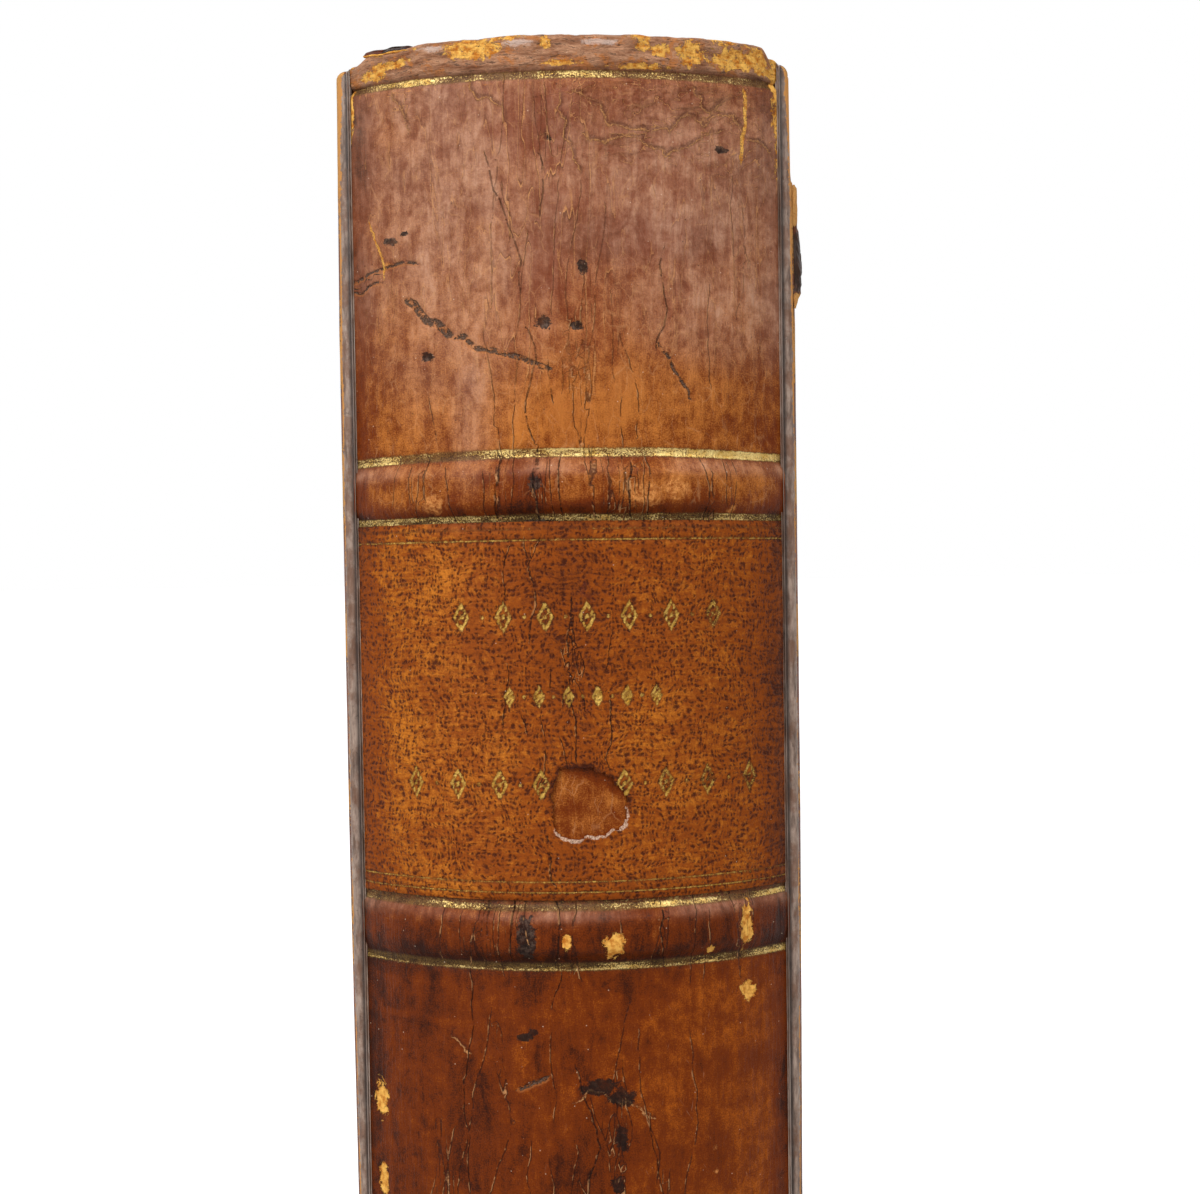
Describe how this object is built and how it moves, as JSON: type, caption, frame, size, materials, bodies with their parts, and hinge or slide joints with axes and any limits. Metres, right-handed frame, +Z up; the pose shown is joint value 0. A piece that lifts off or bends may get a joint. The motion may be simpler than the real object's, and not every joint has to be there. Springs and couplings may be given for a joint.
{
  "type": "antique leather book",
  "caption": "Old octavo in full calf with a rounded spine, raised bands, gilt lines, a lettering-piece and two boards that open.",
  "frame": {"origin": "middle of the box's base, on the surface that the book's tail stands on", "axes": "+Z up the spine from tail to head, +Y from the spine to the fore-edge, +X from the back board to the front board"},
  "size_m": [0.0518, 0.1596, 0.24],
  "materials": {
    "page_paper": "matt, toned with age",
    "marbled_paper": "marbled, slightly burnished",
    "brown_paper": "matt",
    "millboard": "matt, dense rolled board",
    "linen": "plain weave",
    "hemp_cord": "twisted",
    "endband_thread": "wound thread in two colours",
    "spine_calf": "polished calf, crazed and rubbed, with gilt lines",
    "label_leather": "pared goatskin, worn",
    "board_calf": "polished calf, rubbed at the edges"
  },
  "bodies": {
    "book_block": {"text_block": "page_paper", "front_flyleaf": "marbled_paper", "back_flyleaf": "marbled_paper", "sewing_cord_1": "hemp_cord", "sewing_cord_2": "hemp_cord", "sewing_cord_3": "hemp_cord", "sewing_cord_4": "hemp_cord", "spine_lining": "linen", "hollow_tube": "brown_paper", "head_endband": "endband_thread", "tail_endband": "endband_thread", "band_strip_1": "millboard", "band_strip_2": "millboard", "band_strip_3": "millboard", "band_strip_4": "millboard", "spine_leather": "spine_calf", "lettering_piece": "label_leather"},
    "front_cover": {"front_millboard": "millboard", "front_leather": "board_calf", "front_infill": "brown_paper", "front_pastedown": "marbled_paper"},
    "back_cover": {"back_millboard": "millboard", "back_leather": "board_calf", "back_infill": "brown_paper", "back_pastedown": "marbled_paper"}
  },
  "joints": [
    {"name": "front_cover_hinge", "type": "hinge", "parent": "book_block", "child": "front_cover", "pos_m": [0.0254, -0.0678, 0.12], "axis": [0, 0, -1], "range_deg": [0, 180]},
    {"name": "back_cover_hinge", "type": "hinge", "parent": "book_block", "child": "back_cover", "pos_m": [-0.0254, -0.0678, 0.12], "axis": [0, 0, 1], "range_deg": [0, 180]}
  ]
}
